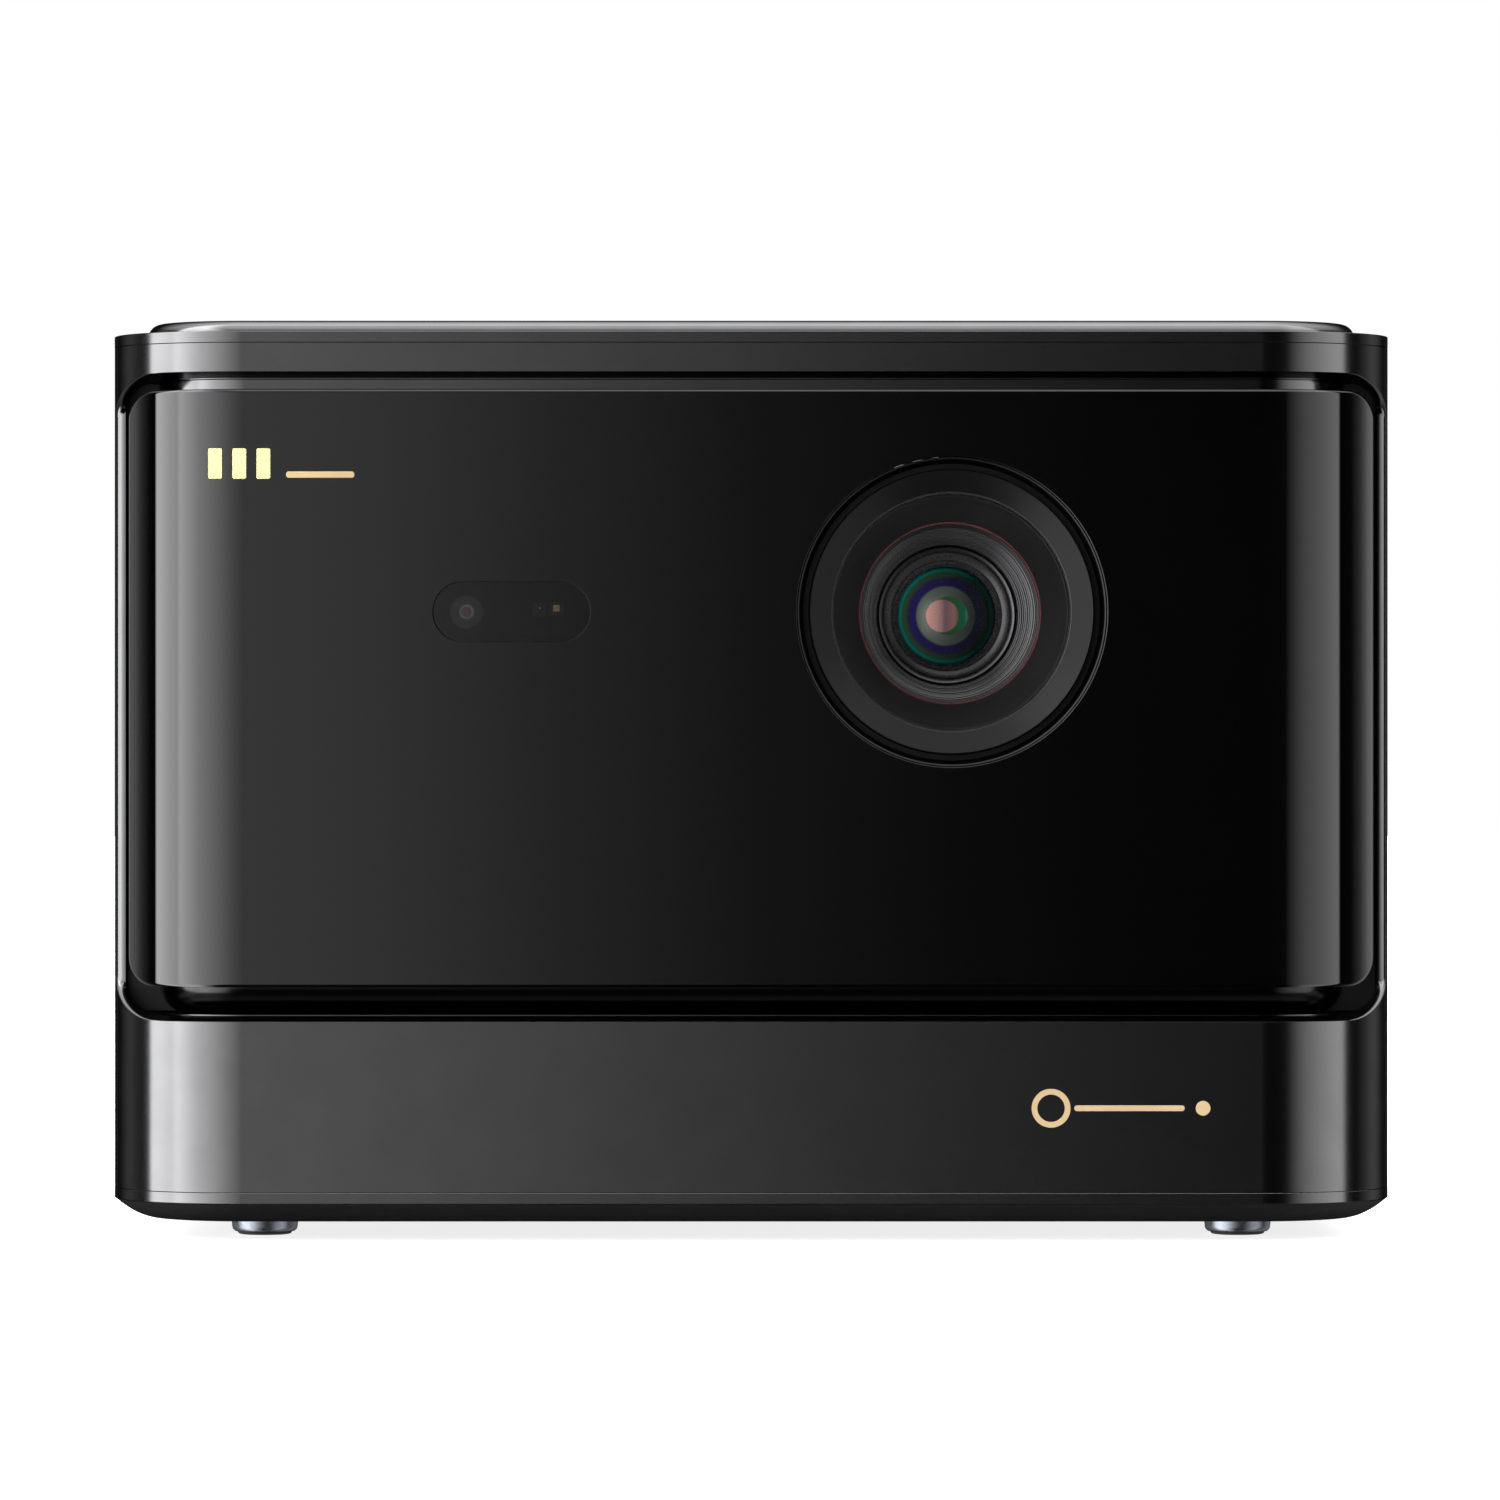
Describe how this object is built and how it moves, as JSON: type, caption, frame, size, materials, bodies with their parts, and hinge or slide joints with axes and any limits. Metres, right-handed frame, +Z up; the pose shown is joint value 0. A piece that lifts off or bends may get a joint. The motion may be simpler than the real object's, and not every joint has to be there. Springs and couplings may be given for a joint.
{
  "type": "home projector",
  "caption": "Compact box-shaped home projector with a wrap-round gloss front, recessed lens, sensor window, fin grilles, rear sockets and short round feet.",
  "frame": {"origin": "centre of the footprint, on the surface the feet rest on", "axes": "+Z up, the lens looks along -Y, +X to the right when the lens faces the reader"},
  "size_m": [0.246, 0.209, 0.1758],
  "materials": {
    "shell_metal": "satin",
    "trim_metal": "satin",
    "base_plastic": "matte",
    "foot_metal": "satin",
    "foot_rubber": "matte",
    "cover_glass": "gloss",
    "button_plastic": "satin",
    "silicone": "matte",
    "board": "satin",
    "bezel_plastic": "satin",
    "front_glass": "gloss",
    "window_glass": "gloss",
    "module_plastic": "matte",
    "mark_gold": "satin",
    "inlay_gold": "satin",
    "ring_metal": "satin",
    "baffle_black": "matte",
    "lens_metal": "satin",
    "lens_glass": "gloss",
    "gear_plastic": "matte",
    "gear_brass": "satin",
    "motor_steel": "satin",
    "engine_cast": "matte",
    "prism_glass": "gloss",
    "shift_metal": "satin",
    "sink_aluminium": "satin",
    "laser_body": "satin",
    "copper": "satin",
    "phosphor": "satin",
    "fan_plastic": "matte",
    "speaker_plastic": "matte",
    "cone_fibre": "matte",
    "grille_plastic": "satin",
    "panel_plastic": "matte",
    "socket_metal": "satin",
    "socket_plastic": "matte",
    "flex_film": "satin",
    "frame_steel": "matte",
    "screw_steel": "satin",
    "insert_brass": "satin"
  },
  "bodies": {
    "chassis": {"outer_shell": "shell_metal", "top_frame": "trim_metal", "bottom_trim": "trim_metal", "base_cover": "base_plastic", "foot_collars": "foot_metal", "foot_pads": "foot_rubber", "top_cover": "cover_glass", "button_dome": "silicone", "button_board": "board", "front_bezel": "bezel_plastic", "front_glass": "front_glass", "sensor_window": "window_glass", "camera_module": "module_plastic", "tof_sensor": "module_plastic", "front_mark": "mark_gold", "band_inlay": "inlay_gold", "lens_trim_ring": "ring_metal", "lens_hood": "baffle_black", "lens_barrel": "lens_metal", "focus_motor": "motor_steel", "engine_housing": "engine_cast", "prism": "prism_glass", "shift_frame": "shift_metal", "dmd_board": "board", "dmd_heatsink": "sink_aluminium", "laser_module": "laser_body", "laser_heatsink": "sink_aluminium", "heat_pipes": "copper", "wheel_motor": "motor_steel", "fan_housing_left": "fan_plastic", "fan_housing_right": "fan_plastic", "speaker_box_left": "speaker_plastic", "speaker_box_right": "speaker_plastic", "side_grille_left": "grille_plastic", "side_grille_right": "grille_plastic", "rear_grille": "grille_plastic", "port_panel": "panel_plastic", "dc_jack": "socket_plastic", "hdmi_ports": "socket_metal", "usb_ports": "socket_metal", "lan_port": "socket_metal", "audio_ports": "socket_plastic", "mainboard": "board", "flex_cable": "flex_film", "mid_frame": "frame_steel", "base_screws": "screw_steel", "tripod_insert": "insert_brass"},
    "power_button": {"power_button": "button_plastic"},
    "fan_left": {"fan_rotor_left": "fan_plastic"},
    "fan_right": {"fan_rotor_right": "fan_plastic"},
    "wheel": {"phosphor_wheel": "phosphor"},
    "focus_ring": {"focus_ring": "gear_plastic"},
    "focus_pinion": {"focus_pinion": "gear_brass"},
    "lens_cell": {"lens_cell": "lens_metal", "front_lens": "lens_glass", "rear_lens": "lens_glass", "lens_retainer": "lens_metal"},
    "cone_left": {"speaker_cone_left": "cone_fibre"},
    "cone_right": {"speaker_cone_right": "cone_fibre"},
    "shift_plate": {"shift_plate": "prism_glass"}
  },
  "joints": [
    {"name": "button_press", "type": "slide", "parent": "chassis", "child": "power_button", "axis": [0, 0, -1], "range_m": [0, 0.0008], "stiffness_N_per_m": 600, "springref_m": -0.0004, "deforming": ["button_dome"]},
    {"name": "fan_left_spin", "type": "hinge", "parent": "chassis", "child": "fan_left", "pos_m": [-0.1065, 0.022, 0.104], "axis": [-1, 0, 0], "continuous": true},
    {"name": "fan_right_spin", "type": "hinge", "parent": "chassis", "child": "fan_right", "pos_m": [0.1065, 0.022, 0.104], "axis": [1, 0, 0], "continuous": true},
    {"name": "wheel_spin", "type": "hinge", "parent": "chassis", "child": "wheel", "pos_m": [-0.012, 0.01, 0.098], "axis": [1, 0, 0], "continuous": true},
    {"name": "focus_turn", "type": "hinge", "parent": "chassis", "child": "focus_ring", "pos_m": [0.0382, -0.052, 0.12], "axis": [0, -1, 0], "range_deg": [-60, 60]},
    {"name": "pinion_turn", "type": "hinge", "parent": "chassis", "child": "focus_pinion", "pos_m": [0.01444, -0.052, 0.09624], "axis": [0, -1, 0], "range_deg": [-301, 301]},
    {"name": "cell_slide", "type": "slide", "parent": "chassis", "child": "lens_cell", "axis": [0, -1, 0], "range_m": [-0.001, 0.001]},
    {"name": "cone_left_stroke", "type": "slide", "parent": "chassis", "child": "cone_left", "axis": [-1, 0, 0], "range_m": [-0.0012, 0.0012], "stiffness_N_per_m": 1500},
    {"name": "cone_right_stroke", "type": "slide", "parent": "chassis", "child": "cone_right", "axis": [1, 0, 0], "range_m": [-0.0012, 0.0012], "stiffness_N_per_m": 1500},
    {"name": "shift_tilt", "type": "hinge", "parent": "chassis", "child": "shift_plate", "pos_m": [0.0382, -0.0245, 0.12], "axis": [0, 0, 1], "range_deg": [-1, 1], "stiffness_Nm_per_rad": 0.2}
  ],
  "couplings": [
    {"joint": "pinion_turn", "follows": "focus_turn", "ratio": -5},
    {"joint": "cell_slide", "follows": "focus_turn", "m_per_rad": 0.00095}
  ]
}
